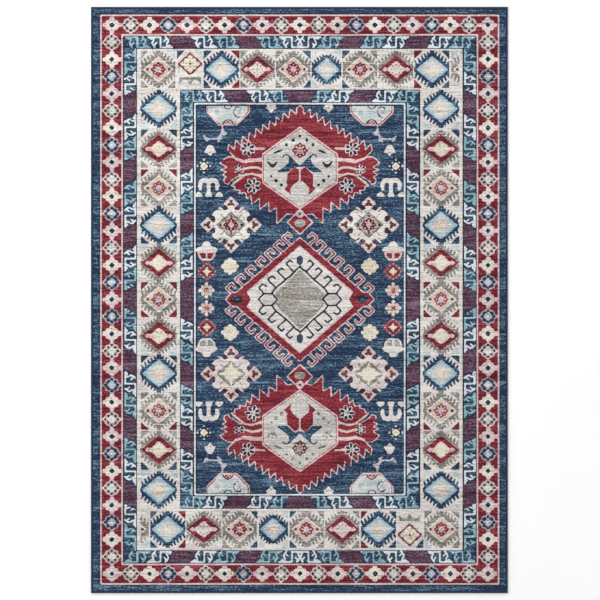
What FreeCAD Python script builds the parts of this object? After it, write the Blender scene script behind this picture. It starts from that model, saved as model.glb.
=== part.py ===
import FreeCAD, Part
import os

# Area rug, 1.60 m by 2.25 m, lying flat with its pile up.
# Frame: millimetres, +Z up out of the pile, +Y along the rug's length.
# The origin is the centre of the underside.
#
# The rug is built in layers: a latex coat on the back, a woven ground above it, and the pile,
# where each yarn colour is a set of tufts of its own. A yarn-wrapped bead over a filler cord
# finishes each of the four edges. The pile stand-ins give each yarn its main areas; the small
# motifs are too fine for solids and share the same yarns.

# Overall size
rug_width = 1600.0
rug_length = 2250.0

# Layers, from the floor up
latex_thickness = 0.8
weave_thickness = 2.2
pile_height = 7.0

# Serged edge: a D-shaped bead of wrapped yarn over a round filler cord
bead_width = 9.0
bead_height = 9.0
cord_diameter = 5.0

# Care label, sewn into a recess of the latex coat near one corner
label_width = 60.0
label_length = 34.0
label_thickness = 0.6
label_inset = 45.0
stitch_length = 5.0
stitch_width = 0.6
stitch_gap = 3.0
stitch_margin = 3.0
stitch_height = 0.15

# Guard stripes: the distance of each stripe's middle from the rug's edge, at the sides and ends
guard_insets = [(38.0, 35.5), (119.4, 110.6), (181.4, 167.8), (333.3, 316.8), (396.9, 374.4)]
guard_width = 7.0
ink_line_width = 5.0

# Lozenges of the main border
end_lozenge = (119.0, 104.0)
side_lozenge = (127.0, 96.0)
lozenge_core = 0.62
end_row = [("tan", -543.0), ("crimson", -421.0), ("sky", -301.5), ("crimson", -163.0), ("tan", -25.0),
           ("sky", 103.0), ("tan", 231.0), ("crimson", 369.0), ("sky", 507.5)]
side_row = [("tan", 0.0), ("crimson", 140.0), ("sky", 284.0), ("tan", 427.0), ("crimson", 577.0),
            ("sky", 731.0)]

# Plum blocks of the hook borders: their middles along the ends and the sides, and their length
plum_ends_outer = [-450.0, -193.0]
plum_sides_outer = [748.0, 495.0, 238.0]
plum_ends_inner = [-240.0]
plum_sides_inner = [535.0, 289.0]
plum_length = 84.0
plum_slant = 12.0

# Medallions of the field
end_medallion = [(0.0, 741.0), (300.0, 500.0), (235.0, 425.0), (0.0, 290.0)]
end_hexagon = [(0.0, 657.0), (142.0, 552.0), (142.0, 450.0), (0.0, 346.0)]
centre_medallion = (282.0, 236.0)
centre_diamond = (201.0, 205.0)
centre_lozenge = (115.0, 111.0)
rosette_place = (264.0, 286.0)
rosette_size = (105.0, 98.0)
rosette_core = (52.0, 46.0)
half_octagon = [(-362.0, 740.0), (-362.0, 719.0), (-305.0, 666.0), (-243.0, 666.0), (-191.0, 719.0),
                (-191.0, 740.0)]
half_octagon_shift = 555.0

# Heights worked out from the layers
weave_bottom = latex_thickness
pile_bottom = latex_thickness + weave_thickness
pile_top = pile_bottom + pile_height

# The woven area inside the edge beads
woven_x = rug_width / 2 - bead_width
woven_y = rug_length / 2 - bead_width


def slab(x_low, x_high, y_low, y_high, z_low, z_high):
    """A box from its corners."""
    corner = FreeCAD.Vector(x_low, y_low, z_low)
    return Part.makeBox(x_high - x_low, y_high - y_low, z_high - z_low, corner)


def prism(points, z_low, z_high):
    """An upright prism over a polygon of (x, y) points."""
    outline = [FreeCAD.Vector(x, y, z_low) for x, y in points]
    face = Part.Face(Part.makePolygon(outline + outline[:1]))
    return face.extrude(FreeCAD.Vector(0, 0, z_high - z_low))


def tufts(points):
    """A prism of pile over a polygon."""
    return prism(points, pile_bottom, pile_top)


def tuft_bar(x_low, x_high, y_low, y_high):
    """A box of pile."""
    return slab(x_low, x_high, y_low, y_high, pile_bottom, pile_top)


def diamond(x, y, half_width, half_length):
    """The four corners of a diamond about (x, y)."""
    return [(x + half_width, y), (x, y + half_length), (x - half_width, y), (x, y - half_length)]


def ring(outer, inner):
    """Four butt-jointed boxes of pile between two half sizes: the sides run the whole length."""
    side_bars = [tuft_bar(inner[0], outer[0], -outer[1], outer[1]),
                 tuft_bar(-outer[0], -inner[0], -outer[1], outer[1])]
    end_bars = [tuft_bar(-inner[0], inner[0], inner[1], outer[1]),
                tuft_bar(-inner[0], inner[0], -outer[1], -inner[1])]
    return side_bars + end_bars


def shrunk(half_size, amount):
    """A half size made smaller on both axes."""
    return (half_size[0] - amount, half_size[1] - amount)


def cut_away(shapes, tools):
    """Each shape with every tool that touches it removed, as a list of solids."""
    solids = []
    for shape in shapes:
        near = [tool for tool in tools if shape.BoundBox.intersect(tool.BoundBox)]
        rest = shape.cut(near) if near else shape
        solids.extend(rest.Solids)
    return solids


def write_node(name, solids):
    """One STEP file for one named piece."""
    shape = solids[0] if len(solids) == 1 else Part.makeCompound(solids)
    shape.exportStep("parts/" + name + ".step")
    print(name, len(solids), "solids", round(sum(solid.Volume for solid in solids) / 1000.0), "cm3")


def mirrored_both_ways(points):
    """A polygon and its three mirror images about the two centre lines."""
    images = []
    for sign_x in (1, -1):
        for sign_y in (1, -1):
            images.append([(sign_x * x, sign_y * y) for x, y in points])
    return images


# ---- Backing -----------------------------------------------------------------------------------

def label_box(z_low, z_high, margin=0.0):
    """The space of the care label, a margin smaller all round."""
    x_low = -woven_x + label_inset + margin
    y_low = -woven_y + label_inset + margin
    return slab(x_low, x_low + label_width - 2 * margin, y_low, y_low + label_length - 2 * margin,
                z_low, z_high)


def latex_coating():
    """The thin coat on the back, with a shallow recess for the label."""
    coat = slab(-woven_x, woven_x, -woven_y, woven_y, 0, latex_thickness)
    return [coat.cut(label_box(0, label_thickness))]


def ground_weave():
    """The woven ground that the tufts stand in."""
    return [slab(-woven_x, woven_x, -woven_y, woven_y, weave_bottom, pile_bottom)]


def stitch_boxes():
    """A row of stitches along each long edge of the label."""
    x_start = -woven_x + label_inset + stitch_margin
    y_label = -woven_y + label_inset
    pitch = stitch_length + stitch_gap
    count = int((label_width - 2 * stitch_margin + stitch_gap) // pitch)
    stitches = []
    for y_row in (y_label + stitch_margin, y_label + label_length - stitch_margin - stitch_width):
        for index in range(count):
            x = x_start + index * pitch
            stitches.append(slab(x, x + stitch_length, y_row, y_row + stitch_width, 0, stitch_height))
    return stitches


def care_label():
    """The blank woven label, flush with the back."""
    return [label_box(0, label_thickness).cut(stitch_boxes())]


# ---- Serged edges ------------------------------------------------------------------------------

def bead_section():
    """The D-shaped section of the bead: flat against the weave, round towards the outside."""
    radius = bead_height / 2
    flat = bead_width - radius
    corners = [FreeCAD.Vector(0, 0, 0), FreeCAD.Vector(flat, 0, 0), FreeCAD.Vector(bead_width, 0, radius),
               FreeCAD.Vector(flat, 0, bead_height), FreeCAD.Vector(0, 0, bead_height)]
    edges = [Part.makeLine(corners[0], corners[1]),
             Part.Arc(corners[1], corners[2], corners[3]).toShape(),
             Part.makeLine(corners[3], corners[4]),
             Part.makeLine(corners[4], corners[0])]
    return Part.Face(Part.Wire(edges))


def edge_pieces(half_across, half_along):
    """The bead and its filler cord along the +X edge, mitred at both ends."""
    start = half_across - bead_width
    run = FreeCAD.Vector(0, 2 * half_along, 0)
    section = bead_section().translated(FreeCAD.Vector(start, -half_along, 0))
    cord_middle = FreeCAD.Vector(start + bead_width - bead_height / 2, -half_along, bead_height / 2)
    cord = Part.makeCylinder(cord_diameter / 2, 2 * half_along, cord_middle, FreeCAD.Vector(0, 1, 0))
    wedge = prism([(start, -half_along + bead_width), (half_across, -half_along),
                   (half_across, half_along), (start, half_along - bead_width)], 0, bead_height)
    bead = section.extrude(run).cut(cord).common(wedge)
    return bead, cord.common(wedge)


def serged_edges():
    """Bead and cord of the four edges, by name."""
    edges = {}
    middle = FreeCAD.Vector(0, 0, 0)
    up = FreeCAD.Vector(0, 0, 1)
    turns = [("right", 0), ("top", 90), ("left", 180), ("bottom", 270)]
    for name, angle in turns:
        upright = angle % 180 == 0
        half_across = (rug_width if upright else rug_length) / 2
        half_along = (rug_length if upright else rug_width) / 2
        pieces = edge_pieces(half_across, half_along)
        edges[name] = [piece.rotated(middle, up, angle) for piece in pieces]
    return edges


# ---- Pile, by yarn colour ----------------------------------------------------------------------

guards = [(rug_width / 2 - side, rug_length / 2 - end) for side, end in guard_insets]


def guard_stripes():
    """The five light stripes that part the borders."""
    bars = []
    for middle in guards:
        bars.extend(ring(shrunk(middle, -guard_width / 2), shrunk(middle, guard_width / 2)))
    return bars


def ink_lines():
    """The dark lines that edge the two hook borders, next to their guard stripes."""
    bars = []
    for outer_guard, inner_guard in ((guards[1], guards[2]), (guards[3], guards[4])):
        outside = shrunk(outer_guard, guard_width / 2)
        inside = shrunk(inner_guard, -guard_width / 2)
        bars.extend(ring(outside, shrunk(outside, ink_line_width)))
        bars.extend(ring(shrunk(inside, -ink_line_width), inside))
    return bars


def band_between(outer_guard, inner_guard, margin=0.0):
    """The ring of pile between two guard stripes."""
    clear = guard_width / 2 + margin
    return ring(shrunk(outer_guard, clear), shrunk(inner_guard, -clear))


def lozenge_shapes():
    """The main border's lozenges as (yarn, x, y, half width, half length).

    One end row is the other one turned half a turn; the two sides are alike.
    """
    middle_x = (guards[2][0] + guards[3][0]) / 2
    middle_y = (guards[2][1] + guards[3][1]) / 2
    shapes = []
    for yarn, x in end_row:
        for sign in (1, -1):
            shapes.append((yarn, sign * x, sign * middle_y, end_lozenge[0] / 2, end_lozenge[1] / 2))
    for yarn, y in side_row:
        for y_signed in sorted({y, -y}):
            for sign in (1, -1):
                shapes.append((yarn, sign * middle_x, y_signed, side_lozenge[0] / 2, side_lozenge[1] / 2))
    return shapes


def plum_blocks():
    """The slanted plum blocks of both hook borders."""
    blocks = []
    for outer_guard, inner_guard, ends, sides in (
            (guards[1], guards[2], plum_ends_outer, plum_sides_outer),
            (guards[3], guards[4], plum_ends_inner, plum_sides_inner)):
        clear = guard_width / 2 + ink_line_width
        x_high, y_high = shrunk(outer_guard, clear)
        x_low, y_low = shrunk(inner_guard, -clear)
        half = plum_length / 2
        for x in ends:
            block = [(x - half - plum_slant, y_high), (x + half - plum_slant, y_high),
                     (x + half + plum_slant, y_low), (x - half + plum_slant, y_low)]
            blocks.extend(mirrored_both_ways(block))
        for y in sides:
            block = [(x_high, y - half - plum_slant), (x_high, y + half - plum_slant),
                     (x_low, y + half + plum_slant), (x_low, y - half + plum_slant)]
            blocks.extend(mirrored_both_ways(block))
    return [tufts(block) for block in blocks]


def both_halves(points):
    """A right half outline on the centre line closed by its mirror image, at both ends of the rug."""
    left = [(-x, y) for x, y in reversed(points) if x > 0]
    outline = points + left
    return [outline, [(x, -y) for x, y in outline]]


def pile_nodes():
    """Every yarn's solids by node name, cut so that neighbours meet face to face."""
    hexagons = [tufts(points) for points in both_halves(end_hexagon)]
    end_medallions = cut_away([tufts(points) for points in both_halves(end_medallion)], hexagons)
    centre_grey = tufts(diamond(0, 0, *centre_lozenge))
    centre_ivory = tufts(diamond(0, 0, *centre_diamond))
    centre_ring = cut_away([tufts(diamond(0, 0, *centre_medallion))], [centre_ivory])
    rosettes = []
    rosette_hearts = []
    for sign_x in (1, -1):
        for sign_y in (1, -1):
            x = sign_x * rosette_place[0]
            y = sign_y * rosette_place[1]
            rosettes.append(tufts(diamond(x, y, *rosette_size)))
            rosette_hearts.append(tufts(diamond(x, y, *rosette_core)))
    octagons = []
    for shift in (0.0, half_octagon_shift):
        for sign in (1, -1):
            octagons.append(tufts([(x + shift, sign * y) for x, y in half_octagon]))

    lozenges = {"tan": [], "sky": [], "crimson": []}
    halos = {"tan": [], "sky": [], "crimson": []}
    for yarn, x, y, half_width, half_length in lozenge_shapes():
        core = tufts(diamond(x, y, half_width * lozenge_core, half_length * lozenge_core))
        lozenges[yarn].append(core)
        halos[yarn].extend(cut_away([tufts(diamond(x, y, half_width, half_length))], [core]))
    all_lozenges = lozenges["tan"] + lozenges["sky"] + lozenges["crimson"]
    all_halos = halos["tan"] + halos["sky"] + halos["crimson"]

    plum = plum_blocks()
    field_half = shrunk(guards[4], guard_width / 2)
    field = tuft_bar(-field_half[0], field_half[0], -field_half[1], field_half[1])
    edge_band = ring((woven_x, woven_y), shrunk(guards[0], -guard_width / 2))
    hook_bands = band_between(guards[1], guards[2], ink_line_width)
    hook_bands += band_between(guards[3], guards[4], ink_line_width)
    field_motifs = (hexagons + end_medallions + [centre_grey, centre_ivory] + centre_ring
                    + rosettes + octagons)

    navy = edge_band + cut_away(hook_bands, plum) + cut_away([field], field_motifs) + halos["sky"]
    crimson = band_between(guards[0], guards[1]) + end_medallions + centre_ring + lozenges["crimson"]
    ivory = (cut_away(band_between(guards[2], guards[3]), all_lozenges + all_halos)
             + cut_away([centre_ivory], [centre_grey]) + hexagons)
    return {
        "pile_navy": navy,
        "pile_crimson": crimson,
        "pile_ivory": ivory,
        "pile_blush": guard_stripes() + cut_away(rosettes, rosette_hearts),
        "pile_ink": ink_lines(),
        "pile_sky": lozenges["sky"],
        "pile_aqua": octagons,
        "pile_tan": lozenges["tan"],
        "pile_grey": halos["tan"] + halos["crimson"] + [centre_grey],
        "pile_taupe": rosette_hearts,
        "pile_plum": plum,
    }


def main():
    os.makedirs("parts", exist_ok=True)
    write_node("latex_coating", latex_coating())
    write_node("ground_weave", ground_weave())
    write_node("care_label", care_label())
    write_node("label_stitching", stitch_boxes())
    for name, (bead, cord) in serged_edges().items():
        write_node("serging_" + name, bead.Solids)
        write_node("edge_cord_" + name, cord.Solids)
    for name, solids in pile_nodes().items():
        write_node(name, solids)


main()
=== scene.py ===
"""Visual model of a flat area rug: dyed pile, wrapped edges, woven backing, studio light.

The rug's pattern is painted on a loom chart, one yarn for every knot, and the chart is then
woven: the yarns of each CAD pile node become a mesh of their own, and all of them share one surface.
"""
import math

import bmesh
import bpy
import numpy as np
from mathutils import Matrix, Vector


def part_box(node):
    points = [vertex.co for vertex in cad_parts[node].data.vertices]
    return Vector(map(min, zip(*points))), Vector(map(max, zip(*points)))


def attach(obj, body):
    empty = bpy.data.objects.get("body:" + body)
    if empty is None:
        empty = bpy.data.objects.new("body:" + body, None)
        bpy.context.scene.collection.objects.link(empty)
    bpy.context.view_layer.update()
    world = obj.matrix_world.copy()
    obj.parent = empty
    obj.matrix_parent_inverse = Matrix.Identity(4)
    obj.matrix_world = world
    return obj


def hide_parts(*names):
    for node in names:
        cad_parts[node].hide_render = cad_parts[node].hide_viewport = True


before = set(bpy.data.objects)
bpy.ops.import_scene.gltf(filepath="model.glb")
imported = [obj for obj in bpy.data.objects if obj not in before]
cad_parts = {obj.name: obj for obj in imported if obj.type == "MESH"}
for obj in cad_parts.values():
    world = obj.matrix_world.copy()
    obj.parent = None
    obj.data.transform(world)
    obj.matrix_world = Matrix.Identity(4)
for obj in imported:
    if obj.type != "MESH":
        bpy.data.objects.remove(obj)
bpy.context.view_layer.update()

# ---- sizes, in metres

MM = 0.001
SEED = 20
PATTERN_SHIFT = (0.0020, 0.0024)  # the pattern sits a little off the rug's centre

# ---- loom chart, in millimetres

# Every CAD pile node with its yarns' names and dyes, as sRGB 0-255.
PILES = {
    "pile_navy": {"navy": (36, 56, 86), "teal": (38, 62, 80)},
    "pile_ink": {"slate": (84, 100, 120), "ink": (34, 42, 52), "dusk": (60, 72, 96)},
    "pile_crimson": {"crimson": (130, 38, 50), "garnet": (112, 28, 40), "maroon": (100, 34, 44),
                     "rose": (176, 92, 98), "rust": (146, 82, 82)},
    "pile_plum": {"plum": (82, 52, 70), "aubergine": (52, 32, 48), "mauve": (112, 62, 84)},
    "pile_ivory": {"ivory": (221, 215, 210), "pearl": (198, 195, 189), "milk": (228, 224, 217),
                   "shell": (217, 205, 201), "white": (222, 227, 236), "cream": (230, 221, 198)},
    "pile_blush": {"blush": (212, 186, 186)},
    "pile_sky": {"sky": (154, 183, 199), "mist": (138, 173, 188)},
    "pile_aqua": {"aqua": (188, 201, 200)},
    "pile_tan": {"tan": (212, 190, 176), "peach": (232, 214, 202)},
    "pile_grey": {"grey": (158, 152, 146), "haze": (160, 160, 176), "ash": (130, 124, 118),
                  "stone": (118, 112, 106), "lilac": (192, 188, 200)},
    "pile_taupe": {"taupe": (118, 98, 88), "brown": (96, 52, 44)},
}
YARNS = [(name, node, dye) for node, dyes in PILES.items() for name, dye in dyes.items()]
YARN = {name: number for number, (name, _, _) in enumerate(YARNS)}

KNOT = 3.0  # knot pitch
WOVEN_HALF = (791.0, 1116.0)  # half width and half length between the wrapped edges
SHIFT = (PATTERN_SHIFT[0] / MM, PATTERN_SHIFT[1] / MM)


class Chart:
    """The loom chart: one yarn number for every knot, and where each knot's middle is."""

    def __init__(self):
        self.columns = round(2 * WOVEN_HALF[0] / KNOT)
        self.rows = round(2 * WOVEN_HALF[1] / KNOT)
        self.step = (2 * WOVEN_HALF[0] / self.columns, 2 * WOVEN_HALF[1] / self.rows)
        self.yarn = np.zeros((self.rows, self.columns), dtype=np.uint8)
        self.x = (np.arange(self.columns) + 0.5) * self.step[0] - WOVEN_HALF[0] - SHIFT[0]
        self.y = (np.arange(self.rows) + 0.5) * self.step[1] - WOVEN_HALF[1] - SHIFT[1]


class Pen:
    """Draws yarn on the chart in millimetres, from a place that can be moved, turned or mirrored."""

    def __init__(self, chart, matrix=None, fence=None):
        self.chart = chart
        self.matrix = np.eye(3) if matrix is None else matrix
        self.fence = fence

    def at(self, x=0.0, y=0.0, turn=0.0, flip_x=False, flip_y=False):
        """A pen like this one, moved, then turned by some degrees, then mirrored."""
        cosine, sine = math.cos(math.radians(turn)), math.sin(math.radians(turn))
        turned = np.array([[cosine, -sine, x], [sine, cosine, y], [0.0, 0.0, 1.0]])
        mirror = np.diag([-1.0 if flip_x else 1.0, -1.0 if flip_y else 1.0, 1.0])
        return Pen(self.chart, self.matrix @ turned @ mirror, self.fence)

    def within(self, x_low, y_low, x_high, y_high):
        """The same pen, kept inside a box given in its own place."""
        low, high = self.fenced(self.placed([(x_low, y_low), (x_high, y_high)]), 0.0)
        return Pen(self.chart, self.matrix, (low[0], low[1], high[0], high[1]))

    def fenced(self, points, margin):
        """The box round some points and a margin, as far as the pen may draw."""
        low, high = points.min(axis=0) - margin, points.max(axis=0) + margin
        if self.fence is None:
            return low, high
        return np.maximum(low, self.fence[:2]), np.minimum(high, self.fence[2:])

    def placed(self, points):
        """Where some points of the pen's own place lie on the chart."""
        points = np.asarray(points, dtype=float)
        return points @ self.matrix[:2, :2].T + self.matrix[:2, 2]

    def window(self, points, margin):
        """The rows and columns of knots around some points, and the knots' middles."""
        low, high = self.fenced(points, margin)
        columns = slice(*np.searchsorted(self.chart.x, (low[0], high[0])))
        rows = slice(*np.searchsorted(self.chart.y, (low[1], high[1])))
        x, y = np.meshgrid(self.chart.x[columns], self.chart.y[rows])
        return rows, columns, x, y

    def fill(self, yarn, points):
        """A filled outline, by the even-odd rule."""
        corners = self.placed(points)
        rows, columns, x, y = self.window(corners, 0.0)
        if x.size == 0:
            return
        inside = np.zeros(x.shape, dtype=bool)
        for (x0, y0), (x1, y1) in zip(corners, np.roll(corners, -1, axis=0)):
            if y0 == y1:
                continue
            crosses = (y0 > y) != (y1 > y)
            inside ^= crosses & (x < x0 + (y - y0) * (x1 - x0) / (y1 - y0))
        self.chart.yarn[rows, columns][inside] = YARN[yarn]

    def line(self, yarn, points, width, closed=False):
        """A line of even width through some points."""
        corners = self.placed(points)
        ends = np.roll(corners, -1, axis=0) if closed else corners[1:]
        for (x0, y0), (x1, y1) in zip(corners, ends):
            rows, columns, x, y = self.window(np.array([(x0, y0), (x1, y1)]), width)
            if x.size == 0:
                continue
            run = max((x1 - x0) ** 2 + (y1 - y0) ** 2, 1e-9)
            along = np.clip(((x - x0) * (x1 - x0) + (y - y0) * (y1 - y0)) / run, 0.0, 1.0)
            away = np.hypot(x - x0 - along * (x1 - x0), y - y0 - along * (y1 - y0))
            self.chart.yarn[rows, columns][away <= width / 2] = YARN[yarn]

    def disc(self, yarn, x, y, radius, radius_y=None):
        tall = radius if radius_y is None else radius_y
        turns = np.linspace(0.0, 2 * math.pi, 24, endpoint=False)
        self.fill(yarn, np.column_stack((x + radius * np.cos(turns), y + tall * np.sin(turns))))

    def box(self, yarn, half_x, half_y, x=0.0, y=0.0):
        self.fill(yarn, [(x - half_x, y - half_y), (x + half_x, y - half_y),
                         (x + half_x, y + half_y), (x - half_x, y + half_y)])

    def diamond(self, yarn, half_x, half_y, x=0.0, y=0.0):
        self.fill(yarn, [(x - half_x, y), (x, y - half_y), (x + half_x, y), (x, y + half_y)])

    def dots(self, yarn, places, radius):
        for x, y in places:
            self.disc(yarn, x, y, radius)

    def stepped(self, yarn, steps, less):
        """A stepped outline from boxes on one middle, each smaller by the same amount."""
        for half_x, half_y in steps:
            self.box(yarn, half_x - less, half_y - less)

    def mirrored_x(self):
        return [self, self.at(flip_x=True)]

    def quarters(self):
        return [self.at(flip_x=flip_x, flip_y=flip_y)
                for flip_x in (False, True) for flip_y in (False, True)]


def crosswise(reach_x, reach_y):
    """Four places to the left, right, below and above."""
    return [(-reach_x, 0.0), (reach_x, 0.0), (0.0, -reach_y), (0.0, reach_y)]


def cornerwise(reach_x, reach_y):
    """Four places at the corners of a box."""
    return [(x, y) for x in (-reach_x, reach_x) for y in (-reach_y, reach_y)]


def both_sides(left):
    """A closed outline from its left half, which runs from the top to the bottom."""
    return left + [(-x, y) for x, y in reversed(left)]


def all_round(quarter):
    """A closed outline from its upper left quarter, which runs from the top to the left."""
    return both_sides(quarter + [(x, -y) for x, y in reversed(quarter)])


# ---- bands of the border

# Nested boxes from the outside in: yarn, half width, half length.
BANDS = [
    ("navy", 792, 1117),
    ("ink", 769, 1098), ("blush", 765, 1093.6),
    ("garnet", 758.6, 1087), ("blush", 684.4, 1018.6),
    ("ink", 677.8, 1012), ("teal", 673, 1007),
    ("ink", 629.5, 966.5), ("ivory", 624.5, 961.5),
    ("ink", 460.5, 804), ("teal", 456, 799.5),
    ("ink", 411, 758), ("white", 405.8, 752.8),
    ("ink", 400, 747), ("navy", 395, 742),
]
# The navy blocks in the corners of the hooked bands: half width, half height and place.
CORNER_BLOCKS = [(11, 34, -661, 967), (11, 30, -443, 765)]


def border_bands(pen):
    """The plain grounds and guard lines of the borders."""
    for yarn, half_x, half_y in BANDS:
        pen.box(yarn, half_x, half_y)
    for quarter in pen.quarters():
        for block in CORNER_BLOCKS:
            quarter.box("navy", *block)


# ---- flowers of the outer border

FLOWER_ROW_Y = 1052.3
FLOWER_STEP_X = 72.1
FLOWER_COLUMN_X = 721.5
FLOWER_STEP_Y = 65.77
ROW_FLOWERS = 10  # flowers on either side of the middle one
COLUMN_FLOWERS = 15
CORNER_LOBES = cornerwise(13.5, 12.5)


def stepped_flower(pen, yarn, less):
    """A flower head: a chamfered block with one petal on every side."""
    half_x, half_y, chamfer = 23.5 - less, 20 - less, 4.5
    pen.fill(yarn, all_round([(chamfer - half_x, half_y), (-half_x, half_y - chamfer)]))
    pen.stepped(yarn, ((9, 31), (36, 8)), less)


def pale_flower(pen, edge, inside):
    """A flower of the outer border: a pale head in a thin edge, with a diamond for a heart."""
    stepped_flower(pen, edge, 0)
    stepped_flower(pen, inside, 5.5)
    pen.dots("lilac", crosswise(24, 19), 2.2)
    pen.diamond("ink", 11.5, 11.5)
    pen.disc(inside, 0, 0, 1.8)


def dotted_flower(pen, edge, inside, heart, middle):
    """A flower of the outer border: eight dotted lobes round a pale heart."""
    for yarn, less in ((edge, 0), (inside, 4)):
        pen.dots(yarn, crosswise(25, 23.5), 10 - less)
        pen.dots(yarn, CORNER_LOBES, 12.5 - less)
    pen.stepped(edge, ((37, 2.2), (2.2, 35)), 0)
    pen.dots(inside, crosswise(22, 20.5), 6.5)
    pen.dots("ink", crosswise(24, 22.5) + CORNER_LOBES, 4.8)
    pen.diamond(heart, 17, 17)
    pen.disc(middle, 0, 0, 5)


def border_flower(pen, kind):
    """One flower of the outer border."""
    if kind == "peach":
        pale_flower(pen, "blush", "shell")
    elif kind == "cream":
        pale_flower(pen, "peach", "milk")
    elif kind == "grey":
        dotted_flower(pen, "blush", "grey", "ivory", "tan")
    else:
        dotted_flower(pen, "haze", "dusk", "lilac", "white")


def flower_border(pen):
    """The outer border: four kinds of flower in turn, from the middle of each side outwards."""
    row = ("cream", "grey", "peach", "blue")
    column = ("peach", "blue", "cream", "grey")
    for step in range(-ROW_FLOWERS, ROW_FLOWERS + 1):
        for y in (-FLOWER_ROW_Y, FLOWER_ROW_Y):
            border_flower(pen.at(FLOWER_STEP_X * step, y), row[abs(step) % len(row)])
    for step in range(-COLUMN_FLOWERS, COLUMN_FLOWERS + 1):
        for x in (-FLOWER_COLUMN_X, FLOWER_COLUMN_X):
            border_flower(pen.at(x, FLOWER_STEP_Y * step), column[abs(step) % len(column)])


# ---- hooked borders

OUTER_HOOKS_TOP = [("mist", -623.3), ("white", -535.8), ("plum", -452), ("white", -367.9),
                   ("mist", -280.4), ("plum", -195), ("mist", -116.8), ("white", -31.8)]
OUTER_HOOKS_SIDE = [("mist", 909.9), ("white", 824.7), ("plum", 748), ("white", 660),
                    ("mist", 576), ("plum", 495), ("mist", 406), ("white", 322),
                    ("plum", 238), ("white", 156), ("mist", 72), ("plum", -4)]
INNER_HOOKS_TOP = [("mist", -408.9), ("white", -325.6), ("plum", -240), ("white", -154),
                   ("mist", -70), ("plum", -7)]
INNER_HOOKS_SIDE = [("mist", 705.7), ("white", 621), ("plum", 535), ("white", 451.5),
                    ("mist", 369), ("plum", 289), ("mist", 204), ("white", 119),
                    ("plum", 36)]
# Each hooked band: its figures, the middle of its depth, and whether it runs along the top.
HOOK_BANDS = [(OUTER_HOOKS_SIDE, -651, False), (INNER_HOOKS_SIDE, -433.5, False),
              (OUTER_HOOKS_TOP, 987, True), (INNER_HOOKS_TOP, 779, True)]
HOOK_BAND_HALF = 24.5  # half a hooked band's depth
PLUM_HALF_X = 43
PLUM_HALF_Y = 24
PLUM_LEAN = 12  # how far the block's edges lean from its middle
PLUM_RIM = 4
PLUM_SPECKS = 56
SPECK_YARNS = ["mauve", "aubergine", "slate", "aubergine", "mauve", "maroon"]


def hook_half(pen, yarn):
    """Half of a hook figure: a foot, a bent limb with a curl, and a spike."""
    pen.line(yarn, [(0, 0), (0, -19.5), (46, -19.5)], 6.2)
    pen.fill(yarn, [(28, -18), (33.5, -7), (53, -22), (40, -22)])
    pen.line(yarn, [(24.5, -16.5), (25, -7), (31, 2), (29, 9.5), (19.6, 20.5)], 6.2)
    pen.line(yarn, [(23.5, 13), (14, 2)], 5.4)


def plum_block(pen, rng):
    """A slanted block of mottled plum."""
    for yarn, rim in (("ink", PLUM_RIM), ("plum", 0)):
        reach = PLUM_HALF_X + rim
        pen.fill(yarn, [(-reach - PLUM_LEAN, PLUM_HALF_Y), (reach - PLUM_LEAN, PLUM_HALF_Y),
                        (reach + PLUM_LEAN, -PLUM_HALF_Y), (PLUM_LEAN - reach, -PLUM_HALF_Y)])
    for _ in range(PLUM_SPECKS):
        up = rng.uniform(-19, 19)
        place = rng.uniform(4 - PLUM_HALF_X, PLUM_HALF_X - 10) - PLUM_LEAN * up / PLUM_HALF_Y
        yarn = rng.choice(SPECK_YARNS)
        pen.line(yarn, [(place, up + 2.5), (place + rng.uniform(1, 6), up - 2.5)], 3)


def hook_band(pen, units, middle, along_top, rng):
    """One quarter of a hooked band: its figures, from the corner to the middle."""
    low, high = middle - HOOK_BAND_HALF, middle + HOOK_BAND_HALF
    if along_top:
        band = pen.within(-WOVEN_HALF[0], low, 0, high)
    else:
        band = pen.within(low, 0, high, WOVEN_HALF[1])
    for yarn, place in units:
        spot = band.at(place, middle) if along_top else band.at(middle, place, turn=-90)
        if yarn == "plum":
            plum_block(spot, rng)
            continue
        for turn in (0, 180):
            hook_half(spot.at(turn=turn), yarn)


def hooked_borders(pen):
    """The two hooked bands, one on either side of the main border."""
    rng = np.random.default_rng(SEED)
    for quarter in pen.quarters():
        for units, middle, along_top in HOOK_BANDS:
            hook_band(quarter, units, middle, along_top, rng)


# ---- lozenges of the main border

HALO_REACH = (15, 13)  # how far a halo's body reaches past its lozenge
HALO_STUB = 9.5  # half width of the stub at a halo's tips
# Tips of the teeth in one quarter of a halo, from the middle of the lozenge.
TEETH = [(15.5, 64), (27.5, 57.5), (39.5, 50), (51.5, 41), (63.5, 31)]
SHORT_TEETH = 0.86  # in a short cell the teeth stand nearer by this share
TOOTH = [(2, 5), (-5.5, -4), (-8.5, -12), (-11, -27), (1.5, -27), (1.5, -12), (5.5, 4)]


def toothed_halo(pen, yarn, half_x, half_y, cell_x, cell_y, short):
    """Flame-like teeth round a lozenge, kept inside its cell; a short cell has no stub."""
    pen = pen.within(-cell_x, -cell_y, cell_x, cell_y)
    pen.diamond(yarn, half_x + HALO_REACH[0], half_y + HALO_REACH[1])
    if not short:
        pen.box(yarn, HALO_STUB, cell_y)
    scale = SHORT_TEETH if short else 1
    for quarter in pen.quarters():
        for tip_x, tip_y in TEETH:
            quarter.at(tip_x * scale, tip_y * scale).fill(yarn, TOOTH)


def ring_flower(pen, yarn, reach, heart):
    """A ring of eight dotted lobes with a small bud on every side."""
    places = [(reach * 0.62 * math.cos(turn), reach * 0.62 * math.sin(turn))
              for turn in np.radians(np.arange(0, 360, 45))]
    pen.dots(yarn, places, reach * 0.29)
    pen.dots(yarn, crosswise(reach * 0.88, reach * 0.88), reach * 0.15)
    pen.dots("blush", places, reach * 0.13)
    pen.disc("blush", 0, 0, reach * 0.42)
    pen.disc(heart, 0, 0, reach * 0.33)


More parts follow.
